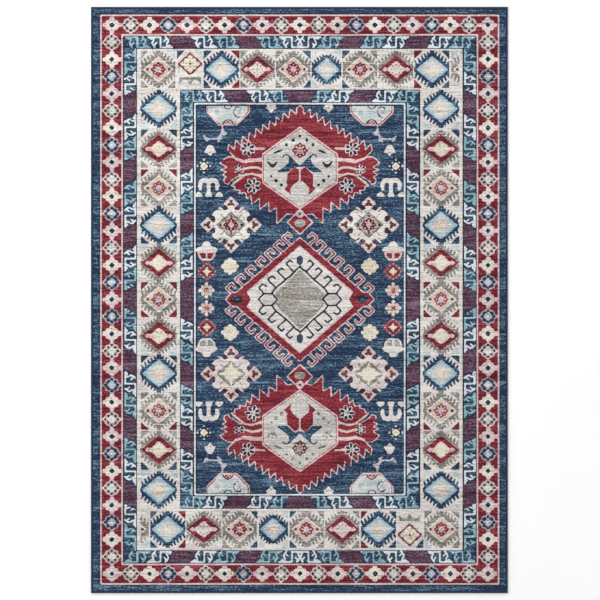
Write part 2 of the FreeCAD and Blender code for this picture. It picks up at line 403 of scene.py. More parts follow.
def tan_lozenge(pen, half_x, half_y, flower):
    """An ivory-edged tan lozenge with a ring flower between two dots."""
    pen.diamond("ivory", half_x, half_y)
    pen.diamond("tan", half_x - 8, half_y - 7)
    ring_flower(pen, flower, 29, "lilac")
    pen.dots("brown", [(-42, 0), (42, 0)], 6.4)


def blue_lozenge(pen, half_x, half_y):
    """A sky-edged lozenge, paler towards its middle."""
    pen.diamond("sky", half_x, half_y)
    pen.diamond("aqua", half_x - 11, half_y - 9)
    pen.diamond("shell", half_x * 0.62, half_y * 0.66)
    pen.diamond("cream", half_x * 0.3, half_y * 0.33)
    pen.dots("tan", crosswise(11, 10), 3)


RED_FLOWER_STEPS = ((7.5, 31), (15.5, 24.5), (24, 17), (34, 9))


def red_lozenge(pen, half_x, half_y, dotted):
    """A garnet lozenge with a stepped flower, which is dotted along the top and the bottom."""
    pen.diamond("rose", half_x + 3, half_y + 2.6)
    pen.diamond("garnet", half_x, half_y)
    pen.stepped("blush", RED_FLOWER_STEPS, 0)
    pen.stepped("ivory" if dotted else "cream", RED_FLOWER_STEPS, 3.5)
    for x in (-42.5, 42.5):
        pen.diamond("blush", 12.5, 10, x=x)
    if dotted:
        pen.dots("rose", crosswise(18, 17), 3.6)
        pen.dots("rose", cornerwise(11.5, 11), 3.2)
        pen.dots("lilac", crosswise(6, 6), 3.6)


HALO_YARNS = {"tan": "ash", "blue": "navy", "red": "ash"}
SHORT_LOZENGE = 55  # a lozenge narrower than this stands in a short cell


def lozenge(pen, yarn, half_x, half_y, cell_x, cell_y, along_top):
    """One cell of the main border: a lozenge in its halo."""
    short = half_x < SHORT_LOZENGE
    toothed_halo(pen, HALO_YARNS[yarn], half_x, half_y, cell_x, cell_y, short)
    if yarn == "tan":
        tan_lozenge(pen, half_x, half_y, "crimson" if along_top else "rust")
    elif yarn == "blue":
        blue_lozenge(pen, half_x, half_y)
    else:
        red_lozenge(pen, half_x, half_y, dotted=along_top)


CORNER_LEGS = (32, 34)
CORNER_GAP = 2  # from the meeting line of two cells to their triangles


def cell_corners(pen, x, before, after):
    """The triangles in the corners of two cells, where they meet at the edge of the border."""
    for yarn, way in ((before, -1), (after, 1)):
        if yarn:
            near = x + way * CORNER_GAP
            far = near + way * CORNER_LEGS[0]
            pen.fill(yarn, [(near, 0), (far, 0), (near, -CORNER_LEGS[1])])


# Along the top: yarn, place, half width and half height of every lozenge.
MAIN_ROW = [("tan", -543, 59, 51), ("blue", -301.5, 61, 51), ("red", -163, 64, 52),
            ("tan", -25, 58.5, 50), ("blue", 103, 50.5, 45), ("tan", 231, 58.5, 50),
            ("red", 369, 64, 52), ("blue", 507.5, 62.5, 52), ("tan", 646, 58.5, 50)]
ODD_CELL_X = -421  # the small red lozenge's place in the row
MAIN_ROW_Y = 882
ROW_HALF = 612  # half the row's length
ROW_EDGES = (812, 954)  # the row's inner and outer edge
ROW_CORNERS_Y = (810, 954)  # where the cells' inner and outer triangles stand
ROW_CELL_Y = 72
ROW_CELL_MARGIN = 8  # from a lozenge's tip to the side of its cell
CELL_LINE = 4  # width of the line where two cells meet
# Where two cells meet, with the yarns of the triangles before and after, above and below.
ROW_CORNERS = [(-613, (None, "ash"), (None, "ash")), (-475, ("aqua", "navy"), ("ash", None)),
               (-371, ("aqua", "navy"), (None, "navy")),
               (-231, ("garnet", "ash"), ("garnet", "ash")),
               (-95, (None, "ash"), (None, "ash")), (43, ("navy", "aqua"), ("navy", "aqua")),
               (160, ("aqua", "navy"), (None, "navy")), (299, ("ash", None), ("ash", None)),
               (437, (None, "garnet"), (None, "garnet")),
               (576, ("navy", "aqua"), ("slate", None))]
LONG_LOZENGE = {"blue": (64.5, 54), "red": (66, 53), "tan": (60, 51)}
# Down a side: yarn and place of every lozenge, and the triangles' yarns where two cells meet.
MAIN_COLUMN = [("blue", 731), ("red", 577), ("tan", 427), ("blue", 284), ("red", 140),
               ("tan", 0), ("red", -140), ("blue", -284), ("tan", -427), ("red", -577),
               ("blue", -731)]
COLUMN_CORNERS = [("aqua", "navy"), ("grey", "garnet"), ("ash", None), ("navy", "aqua"),
                  (None, "garnet"), ("garnet", None), ("aqua", "navy"), (None, "ash"),
                  ("garnet", "grey"), ("navy", "aqua")]
MAIN_COLUMN_X = 541.5
COLUMN_CELL = (71, 73)  # half width and half height of a cell in the column
COLUMN_CORNERS_X = 69  # from the column's middle to the triangles' foot


def small_red_lozenge(pen):
    """The odd cell of the row: a small outlined lozenge over a grey crown."""
    flower = pen.at(0, 21)
    flower.diamond("blush", 53, 49)
    flower.diamond("maroon", 48, 44)
    flower.diamond("blush", 41, 37)
    flower.dots("cream", crosswise(24, 22), 9)
    flower.dots("cream", cornerwise(15, 14), 8)
    flower.disc("cream", 0, 0, 16)
    flower.dots("rust", cornerwise(24, 9) + cornerwise(9, 22), 2.6)
    flower.dots("rose", crosswise(13, 12), 3.4)
    flower.disc("taupe", 0, 0, 5.5)
    pen.fill("ash", both_sides([(0, -61), (-12, -42), (-30, -42), (-41, -58), (-41, -30)]))


def main_rows(pen):
    """The main border's two rows; the lower one is the upper one turned half round."""
    for turn in (0, 180):
        row = pen.at(turn=turn).within(-ROW_HALF, ROW_EDGES[0], ROW_HALF, ROW_EDGES[1])
        for yarn, x, half_x, half_y in MAIN_ROW:
            spot = row.at(x, MAIN_ROW_Y)
            lozenge(spot, yarn, half_x, half_y, half_x + ROW_CELL_MARGIN, ROW_CELL_Y, True)
        small_red_lozenge(row.at(ODD_CELL_X, MAIN_ROW_Y))
        for x, upper, lower in ROW_CORNERS:
            row.line("milk", [(x, y) for y in ROW_EDGES], CELL_LINE)
            cell_corners(row.at(0, ROW_CORNERS_Y[1]), x, *upper)
            cell_corners(row.at(0, ROW_CORNERS_Y[0], flip_y=True), x, *lower)


def main_columns(pen):
    """The main border's two columns, between the rows."""
    cell_x, cell_y = COLUMN_CELL
    for x in (-MAIN_COLUMN_X, MAIN_COLUMN_X):
        column = pen.within(x - cell_x, -ROW_EDGES[0], x + cell_x, ROW_EDGES[0])
        for yarn, y in MAIN_COLUMN:
            lozenge(column.at(x, y), yarn, *LONG_LOZENGE[yarn], cell_x, cell_y, False)
        for above, below, pair in zip(MAIN_COLUMN, MAIN_COLUMN[1:], COLUMN_CORNERS):
            meeting = column.at(x, (above[1] + below[1]) / 2)
            for side in meeting.mirrored_x():
                edge = side.at(-COLUMN_CORNERS_X, 0, turn=-90)
                cell_corners(edge.at(flip_y=True), 0, *pair)


# ---- medallions near the ends

SAW_TEETH = 10
SAW_STEP_X = -26.1
SAW_NOTCH_DROP = 15.3  # how far each notch of the saw lies below the last
SAW_TIP_DROP = 14.9


def end_medallion_outline():
    """The upper left half of the end medallion, as a saw-toothed outline."""
    points = [(0, 744), (-12.5, 734), (-12.5, 712)]
    for tooth in range(SAW_TEETH):
        points.append((-16 + SAW_STEP_X * tooth, 711 - SAW_NOTCH_DROP * tooth))
        points.append((-38 + SAW_STEP_X * tooth, 731 - SAW_TIP_DROP * tooth))
    points += [(-277, 571), (-247, 542), (-215, 533), (-192, 539), (-140, 541)]
    return points


# A petal's layers, as shares of the rosette's reach: yarn, length and width.
PETAL_LAYERS = (("blush", 0.42, 0.27), ("white", 0.34, 0.2), ("ink", 0.3, 0.155))


def feather_rosette(pen, reach, petals):
    """Dark leaves, each with a pale line round it, about one point."""
    for yarn, long, wide in PETAL_LAYERS:
        for petal in range(petals):
            turned = pen.at(turn=360 * petal / petals)
            turned.disc(yarn, reach * 0.58, 0, reach * long, reach * wide)
    pen.disc("lilac", 0, 0, reach * 0.12)


WING_LINE = 3.8
OUTER_LOBE = [(-140, 530), (-172, 530), (-215, 524), (-240, 538), (-256, 547), (-277, 547),
              (-292, 537), (-307, 523), (-279, 507), (-305, 496), (-280, 490), (-299, 477),
              (-281, 471), (-292, 460), (-290, 446), (-274, 441), (-270, 452), (-247, 466),
              (-225, 478), (-140, 478)]
LOWER_LOBE = [(-142, 468), (-158, 476), (-184, 483.5), (-211, 478), (-234, 461), (-266, 436),
              (-249, 434), (-251, 421), (-227, 417), (-236, 405), (-209, 411), (-203.5, 385),
              (-188, 401.5), (-184.5, 363.5), (-154, 390), (-154, 344.5), (-119.5, 373),
              (-119.5, 334.5), (-88.8, 352), (-88.8, 290), (-49, 328), (-25, 325), (0, 300)]
# The bands between the lobes: yarn, width and the points they run through.
WING_BANDS = [
    ("blush", 7, [(-247, 538), (-215, 528), (-192, 533), (-165, 537), (-145, 535)]),
    ("tan", 9, [(-213, 500), (-186, 507), (-162, 506), (-145, 497)]),
    ("tan", 8, [(-256, 443), (-236, 459), (-211, 478), (-184, 482), (-160, 475), (-145, 467)]),
    ("blush", 8, [(-176, 577), (-135, 579)]),
]
# The rosettes on the lobes: place, turn, reach and petals.
WING_ROSETTES = [(-200, 577, 26, 31, 7), (-233, 499, 30, 22, 6), (-180, 436, -25, 33, 7)]


def medallion_wing(pen):
    """One side of the end medallion: three crimson lobes with feathered rosettes."""
    upper = end_medallion_outline()
    pen.fill("crimson", upper + [(0, 541)])
    pen.line("blush", upper, WING_LINE)
    pen.fill("crimson", OUTER_LOBE)
    pen.line("blush", OUTER_LOBE, WING_LINE)
    pen.fill("crimson", LOWER_LOBE + [(0, 470)])
    pen.line("blush", LOWER_LOBE[:-1], WING_LINE)
    for yarn, width, points in WING_BANDS:
        pen.line(yarn, points, width)
    for x, y, turn, reach, petals in WING_ROSETTES:
        feather_rosette(pen.at(x, y, turn=turn), reach, petals)


# The hexagon's nested outlines: yarn, half width, top, shoulder, hip and bottom.
HEXAGONS = [("blush", 146, 663, 558.5, 446.5, 345),
            ("rose", 140.8, 657.3, 555.2, 449.8, 350.7),
            ("pearl", 137.2, 653.2, 553, 452, 354.8)]
# The accents in one half of the hexagon: place and radius.
HEXAGON_DOTS = [(-26, 611, 6.8), (-51, 593, 6.8), (-105, 513, 8), (-110, 472, 5.5), (-91, 456, 7.5),
                (-71, 439, 7)]


def medallion_heart(pen, flower, accent):
    """The pale hexagon in the end medallion, with its flower, birds' wings and tulip."""
    for yarn, half_x, top, shoulder, hip, bottom in HEXAGONS:
        pen.fill(yarn, both_sides([(0, top), (-half_x, shoulder), (-half_x, hip), (0, bottom)]))
    pen.disc(accent, 0, 627, 6.5)
    for half in pen.mirrored_x():
        for x, y, radius in HEXAGON_DOTS:
            half.disc(accent, x, y, radius)
        half.fill(accent, [(-106, 556), (-96, 567), (-82, 573), (-64, 576), (-72, 567), (-88, 561)])
        half.line(accent, [(-121, 526), (-111, 512), (-101, 510), (-89, 525)], 8.5)
        half.disc("grey", -104, 528, 4.5)
        half.fill("navy", [(-48, 556), (-38, 550), (-19, 532), (-1, 514), (-1, 507), (-21, 509),
                           (-50, 486), (-90, 487), (-62, 508), (-44, 524), (-42, 540)])
        half.line("ink", [(-66, 545), (-61, 553), (-50, 556), (-42, 550)], 4.5)
        half.fill("blush", [(-19, 512), (0, 500), (0, 450), (-10, 458), (-31, 434), (-33, 414),
                            (-26, 394), (-63, 424), (-50, 437), (-53, 447), (-51, 480)])
        half.fill("crimson", [(-19, 508), (-3.5, 496), (-3.5, 458), (-34, 431), (-37, 414),
                              (-30, 398), (-60, 424), (-47.5, 436), (-50.5, 447), (-49, 479)])
    pen.line("blush", [(0, 500), (0, 455)], 3.5)
    ring_flower(pen.at(0, 571), flower, 31, "grey")


def link_diamond(pen):
    """The small lozenge that joins an end medallion to the centre."""
    pen.diamond("blush", 53, 50, y=296)
    pen.diamond("crimson", 46, 43, y=296)
    pen.disc("blush", 0, 328, 15, 16)
    pen.disc("ink", 0, 328, 5.5)
    pen.disc("grey", 0, 292, 22, 15)


def end_medallions(pen):
    """The two large medallions, which differ only in the yarns of their hexagons."""
    for end, flower, accent in ((False, "crimson", "ink"), (True, "brown", "stone")):
        half = pen.at(flip_y=end)
        for side in half.mirrored_x():
            medallion_wing(side)
        link_diamond(half)
        medallion_heart(half, flower, accent)


# ---- centre medallion

OUTER_LATCHES = [(-282, 43), (-246, 77), (-206, 111), (-168, 145), (-133, 175), (-98, 207),
                 (-66, 236)]
INNER_LATCHES = [[(-23, 105), (-53, 136), (-39, 150), (-28, 142)],
                 [(-54, 76), (-86, 107), (-70, 121), (-59, 112)],
                 [(-92, 45), (-123, 76), (-107, 90), (-94, 80)],
                 [(-139, 23), (-158, 45), (-143, 59), (-128, 50)]]
OUTER_LATCH = [(35, -31), (0, 0), (20, 17.8), (33, 4)]
RING_FLANK = 0.7  # how much the ring's flanks grow, as a share of its tips


def centre_ring(pen, yarn, grow):
    """The ring's outline, grown outwards, with its knob on either side."""
    flank = grow * RING_FLANK
    pen.fill(yarn, all_round([(0, 236 + grow), (-240 - flank, 27 + flank),
                              (-262 - flank, 22 + flank), (-283 - grow, 0)]))


def centre_latches(pen, yarn, width):
    """The latch hooks round the ring."""
    for quarter in pen.quarters():
        for x, y in OUTER_LATCHES:
            quarter.at(x, y).line(yarn, OUTER_LATCH, width)


def centre_medallion(pen):
    """The latch-hooked ring in the middle of the field, round a grey diamond."""
    centre_latches(pen, "blush", 13)
    centre_ring(pen, "blush", 5)
    centre_latches(pen, "maroon", 4.2)
    centre_ring(pen, "crimson", 0)
    for side in pen.mirrored_x():
        side.disc("aubergine", -240, 0, 24, 16)
        side.disc("ink", -240, 0, 17, 11)
        side.disc("slate", -240, 0, 10, 4.5)
    for yarn, grow in (("blush", 4.5), ("ivory", 0)):
        pen.fill(yarn, all_round([(0, 203 + grow), (-201 - grow, 24 + grow), (-184 - grow, 0)]))
    pen.diamond("pearl", 119, 118)
    pen.diamond("grey", 114, 113)
    for quarter in pen.quarters():
        quarter.line("ink", [(0, 127), (-53, 76), (-92, 45), (-107, 25)], 6.4)
        for points in INNER_LATCHES:
            quarter.line("ink", points, 6.2)
    for side in pen.mirrored_x():
        lobe = [(-107, 22), (-139, 22), (-160, 0), (-139, -22), (-107, -22), (-87, 0)]
        side.fill("pearl", lobe)
        side.line("ink", lobe, 6.2, closed=True)
    for y in (150, -150):
        pen.at(0, y).fill("dusk", all_round([(0, 20), (-12, 11)]))


# ---- small figures of the field

def trefoil(pen):
    """Three round leaves, upwards."""
    pen.dots("brown", [(0, 10.5), (-9, -3), (9, -3), (0, 1)], 6.4)


def snowflake(pen, arm, body):
    """An eight-lobed rosette between the medallions, but for its flower."""
    for x, y, turn in ((-89, 0, 90), (89, 0, -90), (0, 80, 0), (0, -80, 180)):
        pen.diamond("aubergine", 32, 32, x=x, y=y)
        pen.diamond("blush", 29, 29, x=x, y=y)
        pen.diamond(arm, 22, 22, x=x, y=y)
        trefoil(pen.at(x, y, turn=turn))
    for quarter in pen.quarters():
        quarter.fill(body, [(0, 68), (-14, 58), (-28, 54), (-42, 70), (-50, 64), (-42, 54),
                            (-52, 57), (-66, 51), (-74, 38), (-68, 30), (-60, 22), (-62, 12),
                            (-74, 4), (-74, 0), (0, 0)])
        quarter.disc("aubergine", -70, 24, 10.5)
        quarter.disc("aubergine", -24, 65, 9.5)
        quarter.line("maroon", [(-46, 59), (-36, 50)], 3)
        quarter.line("blush", [(-48, 67), (-38, 56)], 4)
        quarter.line("grey", [(-41, 39), (-27, 26)], 5.5)
    pen.diamond("stone", 58, 51)


def red_snowflake(pen):
    """A rosette with a maroon flower, which is dotted and has a tan heart."""
    snowflake(pen, "milk", "milk")
    pen.diamond("grey", 50, 43.5)
    pen.diamond("blush", 38, 36)
    for side in pen.mirrored_x():
        side.diamond("blush", 9, 9, x=-41)
        side.disc("ink", -41, 0, 5.5)
    pen.dots("plum", [(0, -33), (0, 33)], 5)
    pen.diamond("maroon", 32, 29)
    pen.box("maroon", 20.48, 17.4)
    pen.dots("blush", cornerwise(13.76, 12.18), 3.84)
    pen.dots("blush", crosswise(21.12, 18.56), 3.2)
    pen.diamond("blush", 14.5, 15.5)
    pen.diamond("tan", 11, 12)


def cream_snowflake(pen):
    """A duller rosette with a cream star."""
    snowflake(pen, "blush", "shell")
    pen.diamond("grey", 51, 44.5)
    for quarter in pen.quarters():
        quarter.line("stone", [(-33, 17), (-19, 30)], 5.5)
        quarter.fill("cream", [(0, 0), (54, 0), (26, 8), (22, 19), (8, 23), (0, 48)])


def bell(pen):
    """A small bell-shaped bud that opens downwards."""
    pen.fill("ivory", both_sides([(-8, 21), (-16, 6), (-24, -10), (-11, -9), (0, -24)]))
    pen.disc("cream", 0, 2, 5)
    pen.disc("grey", 0, -9, 4)


def ringed_star(pen):
    """A dark disc with a cream flower, in a ring of pale blue dots."""
    pen.disc("ink", 0, 0, 22)
    pen.dots("cream", crosswise(8, 8), 7)
    pen.disc("tan", 0, 0, 6)
    pen.dots("aqua", crosswise(25, 25), 4.5)
    pen.dots("aqua", cornerwise(13, 13), 4)


def comb(pen):
    """A three-toothed comb on small feet."""
    pen.fill("ivory", both_sides([(0, 32), (-6, 37), (-22, 36), (-34, 29), (-42, 10), (-37, -12),
                                  (-26, -12), (-26, 10), (-8, 10), (-8, -18), (-15, -37)]))
    for side in pen.mirrored_x():
        side.disc("navy", -16, 10, 8.5, 9)
        foot = side.at(-40, 0)
        foot.fill("ivory", both_sides([(0, -16), (-15, -28), (-16, -37)]))


def cup(pen, edge, halves):
    """A domed cup with two halves of its own yarn under its brim."""
    pen.fill(edge, both_sides([(-36, 2), (-32, -18), (-18, -33)]))
    for side in pen.mirrored_x():
        side.fill(halves, [(-3.5, -3), (-27, -3), (-25, -15), (-14, -27), (-3.5, -25)])
    pen.fill("ivory", both_sides([(-7, 40), (-15, 34), (-17, 22), (-32, 19), (-42, 10), (-43, 2)]))


FLORET_STEPS = ((9, 33.5), (18, 25.5), (26, 17), (35, 8.5))


def outlined_floret(pen, edge):
    """A stepped maroon flower in a thin edge, with a four-pointed star in it."""
    pen.stepped(edge, FLORET_STEPS, 0)
    pen.stepped("maroon", FLORET_STEPS, 5.5)
    pen.dots("blush", crosswise(31, 29.5), 3)
    pen.dots("blush", cornerwise(23, 13) + cornerwise(13, 22), 2.8)
    pen.fill("tan", all_round([(0, 20), (-7, 7), (-19, 0)]))
    pen.diamond("peach", 10, 10)


def star_floret(pen):
    """A round dark flower with pale dots on its rim and a tan star."""
    pen.disc("ink", 0, 0, 26)
    pen.dots("ivory", crosswise(24, 24), 7.5)
    pen.dots("blush", cornerwise(15, 14), 7)
    pen.diamond("tan", 22, 22)
    pen.disc("rust", 0, 0, 11.5)
    pen.dots("tan", crosswise(6.5, 6.5), 3)
    pen.disc("maroon", 0, 0, 3.4)


def cream_floret(pen):
    """A cream flower of eight round petals."""
    pen.dots("cream", crosswise(26, 24), 9)
    pen.dots("cream", cornerwise(15.5, 14.5), 9.5)
    pen.disc("cream", 0, 0, 21)
    pen.dots("ivory", crosswise(9, 9), 3.4)
    pen.disc("tan", 0, 0, 3.4)


def top_floret(pen):
    """A pale five-pointed bud that hangs from the border."""
    pen.fill("ivory", both_sides([(-16, 4), (-15, -5), (-23, -11), (-14, -15), (-10, -18),
                                  (0, -31)]))
    pen.disc("grey", 0, -13, 3.6)


def beast(pen):
    """A small running animal, seen from the side."""
    pen.fill("lilac", [(-373, 635), (-360, 621), (-350, 619), (-318, 619), (-305, 634), (-302, 646),
                       (-299, 679), (-292, 648), (-278, 636), (-283, 630), (-302, 627), (-301, 610),
                       (-312, 602), (-322, 603), (-312, 613), (-348, 613), (-357, 604),
                       (-366, 612)])


# The half octagon's nested outlines: yarn, and how much smaller than the first.
OCTAGONS = (("blush", 0), ("rose", 4.5), ("ivory", 7.8), ("aqua", 13))


def half_octagon(pen):
    """A half octagon that hangs from the top of the field."""
    pen = pen.within(-90, -60, 90, 31)
    for yarn, less in OCTAGONS:
        pen.fill(yarn, both_sides([(-83 + less, 40), (-83 + less, 4 + less * 0.4),
                                   (-34 + less * 0.4, -46 + less)]))
    for x in (-42, 42):
        pen.disc("ivory", x, 6, 22)
        pen.disc("aqua", x, 6, 14)
        pen.disc("sky", x, 6, 8)
    pen.line("maroon", [(52, 16), (46, 25), (32, 25), (22, 12), (22, 0), (34, -13), (46, -13)], 4)
    pen.line("maroon", [(-16, 30), (-8, 20), (8, 20), (16, 30)], 4)
    foot = pen.within(-90, -42, 90, 31)
    foot.disc("maroon", 0, -44, 22, 24)
    foot.disc("blush", 0, -44, 17, 19)
    foot.dots("maroon", [(-8, -36), (8, -36), (0, -31)], 4)


def end_figures(pen, rosette, cup_yarns, floret_edge):
    """The small figures in one half of the field."""
    for x in (-275.6, 275.6):
        half_octagon(pen.at(x, 712))
    for side in pen.mirrored_x():
        rosette(side.at(-264, 286))
        top_floret(side.at(-110, 745))
        bell(side.at(-344.6, 572))
        ringed_star(side.at(-368, 511))
        comb(side.at(-349.5, 430))
        cup(side.at(-358, 182), *cup_yarns)
        outlined_floret(side.at(-357, 107), floret_edge)
        star_floret(side.at(-358, 34))
        cream_floret(side.at(-268, 127))
        beast(side)


def field_figures(pen):
    """The small figures of the field; the two halves differ in a few yarns and the rosettes."""
    end_figures(pen, red_snowflake, ("blush", "crimson"), "rust")
    end_figures(pen.at(flip_y=True), cream_snowflake, ("ivory", "grey"), "rose")


def woven_chart():
    """The whole design, painted from the ground up."""
    chart = Chart()
    pen = Pen(chart)
    border_bands(pen)
    flower_border(pen)
    hooked_borders(pen)
    main_rows(pen)
    main_columns(pen)
    field_figures(pen)
    end_medallions(pen)
    centre_medallion(pen)
    return chart


# ---- materials

def paint(colour):
    """An sRGB colour, 0-255, as linear light."""
    light = [((c / 255 + 0.055) / 1.055) ** 2.4 if c > 10 else c / 255 / 12.92 for c in colour]
    return (*light, 1.0)


class Look:
    """A principled material, and the nodes that it's made of."""

    def __init__(self, name, roughness, sheen):
        self.material = bpy.data.materials.new(name)
        self.material.use_nodes = True
        self.nodes = self.material.node_tree.nodes
        self.place = self.nodes.new("ShaderNodeTexCoord").outputs["Object"]
        self.shade({"Roughness": roughness, "Sheen Weight": sheen, "Sheen Roughness": 0.5,
                    "Specular IOR Level": 0.25})

    def feed(self, socket, value):
        """Sets a socket to a plain value, or links another node's output to it."""
        if isinstance(value, bpy.types.NodeSocket):
            self.material.node_tree.links.new(value, socket)
        else:
            socket.default_value = value

    def shade(self, inputs):
        """Sets the shader's inputs by name."""
        for name, value in inputs.items():
            self.feed(self.nodes["Principled BSDF"].inputs[name], value)

    def add(self, kind, inputs):
        """A new node, with its inputs set by name."""
        node = self.nodes.new(kind)
        for name, value in inputs.items():
            self.feed(node.inputs[name], value)
        return node

    def noise(self, turns, detail, roughness=0.5):
        """Noise that turns so many times a metre along each axis."""
        mapping = self.add("ShaderNodeMapping", {"Vector": self.place, "Scale": turns})
        texture = self.add("ShaderNodeTexNoise", {"Vector": mapping.outputs["Vector"], "Scale": 1.0,
                                                  "Detail": detail, "Roughness": roughness})
        return texture.outputs["Fac"]

    def total(self, parts):
        """The sum of some outputs, each times its share."""
        total = 0.0
        for output, share in parts:
            adder = self.nodes.new("ShaderNodeMath")
            adder.operation = "MULTIPLY_ADD"
            for socket, value in zip(adder.inputs, (output, share, total)):
                self.feed(socket, value)
            total = adder.outputs[0]
        return total

    def ramp(self, source, low, high, bottom=0.0, top=1.0):
        """What runs from low to high, made to run from bottom to top."""
        node = self.add("ShaderNodeMapRange", {"Value": source, "From Min": low, "From Max": high,
                                               "To Min": bottom, "To Max": top})
        return node.outputs["Result"]

    def mixed(self, factor, first, second):
        """The second colour mixed into the first."""
        node = self.nodes.new("ShaderNodeMix")
        node.data_type = "RGBA"
        colours = [socket for socket in node.inputs if socket.type == "RGBA"]
        self.feed(node.inputs["Factor"], factor)
        self.feed(colours[0], first)
        self.feed(colours[1], second)
        return next(socket for socket in node.outputs if socket.type == "RGBA")

    def bump(self, height, strength, distance):
        """Small relief on the surface."""
        node = self.add("ShaderNodeBump", {"Height": height, "Strength": strength,
                                           "Distance": distance})
        self.shade({"Normal": node.outputs["Normal"]})


# Each pile's streaks: its pale and its dark yarn, and how much of each drifts through it.
PILE_LOOKS = {
    "pile_navy": ((122, 156, 174), (14, 26, 50), 0.95, 0.95),
    "pile_crimson": ((186, 92, 100), (54, 14, 30), 0.8, 0.95),
    "pile_plum": ((146, 124, 146), (34, 20, 38), 0.9, 0.9),
    "pile_ivory": ((246, 244, 242), (130, 122, 120), 0.85, 0.8),
    "pile_blush": ((250, 236, 234), (150, 104, 112), 0.8, 0.8),
    "pile_ink": ((76, 92, 108), (10, 14, 22), 0.7, 0.7),
    "pile_sky": ((224, 238, 244), (88, 124, 146), 0.8, 0.8),
    "pile_aqua": ((232, 238, 236), (120, 152, 160), 0.9, 0.9),
    "pile_tan": ((240, 228, 220), (148, 120, 110), 0.8, 0.8),
    "pile_grey": ((222, 217, 212), (86, 80, 75), 1.0, 1.0),
    "pile_taupe": ((166, 144, 132), (54, 40, 36), 0.7, 0.7),
}
# The drifts of the dye: how often each turns in a metre of every axis, its detail and its share.
DRIFTS = (
    ((6.0, 125.0, 1.0), 1.0, 0.35),  # threads
    ((120.0, 240.0, 1.0), 1.0, 0.7),  # knots
    ((22.0, 150.0, 1.0), 2.0, 0.45),  # streaks
    ((3.0, 26.0, 1.0), 2.0, 0.4),  # bands
)
DRIFT_REACH = (0.01, 0.2)  # how far from its middle a drift starts and ends to show
TUFT_TURNS = 420.0


def pile_material(node_name):
    """Cut pile: the yarn's dye, drifting streaks across the rug, heathered knots and soft tufts."""
    pale, dark, pale_share, dark_share = PILE_LOOKS[node_name]
    look = Look(node_name + "_yarn", 0.92, 0.1)
    dye = look.nodes.new("ShaderNodeAttribute")
    dye.attribute_name = "dye"
    drift = look.total([(look.noise(turns, detail, 0.6), share) for turns, detail, share in DRIFTS])
    middle = sum(share for *_, share in DRIFTS) / 2
    near, far = DRIFT_REACH
    paler = look.ramp(drift, middle + near, middle + far, 0.0, pale_share)
    darker = look.ramp(drift, middle - near, middle - far, 0.0, dark_share)
    with_pale = look.mixed(paler, dye.outputs["Color"], paint(pale))
    look.shade({"Base Color": look.mixed(darker, with_pale, paint(dark))})
    look.bump(look.noise((TUFT_TURNS, TUFT_TURNS, TUFT_TURNS), 2.0), 0.6, 0.0012)
    return look.material


def plain_yarn_material(name, colour, other, turns, roughness=0.9, sheen=0.1):
    """Spun yarn or thread of one dye, a little heathered."""
    look = Look(name, roughness, sheen)
    fibres = look.noise((turns, turns, turns), 3.0)
    share = look.ramp(fibres, 0.35, 0.65)
    look.shade({"Base Color": look.mixed(share, paint(colour), paint(other))})
    look.bump(fibres, 0.5, 0.0006)
    return look.material


def coating_material():
    """Latex over a woven scrim: a fine chequer of threads shows through the cream coat."""
    look = Look("latex_coat", 0.62, 0.0)
    threads = look.add("ShaderNodeTexBrick", {
        "Vector": look.place, "Scale": 1.0, "Mortar Size": 0.0009, "Mortar Smooth": 1.0,
        "Brick Width": 0.0052, "Row Height": 0.0034, "Color1": paint((206, 192, 166)),
        "Color2": paint((190, 174, 146)), "Mortar": paint((140, 122, 96))})
    blotch = look.ramp(look.noise((9.0, 9.0, 9.0), 3.0), 0.35, 0.7, 0.0, 0.35)
    look.shade({"Base Color": look.mixed(blotch, threads.outputs["Color"], paint((222, 212, 190)))})
    look.bump(threads.outputs["Fac"], 0.6, 0.0005)
    return look.material


# ---- the woven pile

PILE_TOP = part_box("pile_navy")[1][2]
GROOVE = 0.7 * MM  # how far the pile dips where two yarns meet
RIM_DROP = 0.8 * MM  # how far it dips beside the wrapped edge
TUFT_PLAY = 0.28 * MM  # how far a tuft strays from its place
SEAM_ROUNDS = 3  # how many times the seams are smoothed


def smooth_seams(place, seam_x, seam_y, meets):
    """Draws each corner on a seam between two yarns towards its neighbours on that seam."""
    pull = np.zeros((*meets.shape, 2))
    pull[:, 1:] += seam_x[..., None] * place[:, :-1, :2]
    pull[:, :-1] += seam_x[..., None] * place[:, 1:, :2]
    pull[1:] += seam_y[..., None] * place[:-1, :, :2]
    pull[:-1] += seam_y[..., None] * place[1:, :, :2]
    along = meets == 2
    place[along, :2] = 0.5 * place[along, :2] + 0.25 * pull[along]


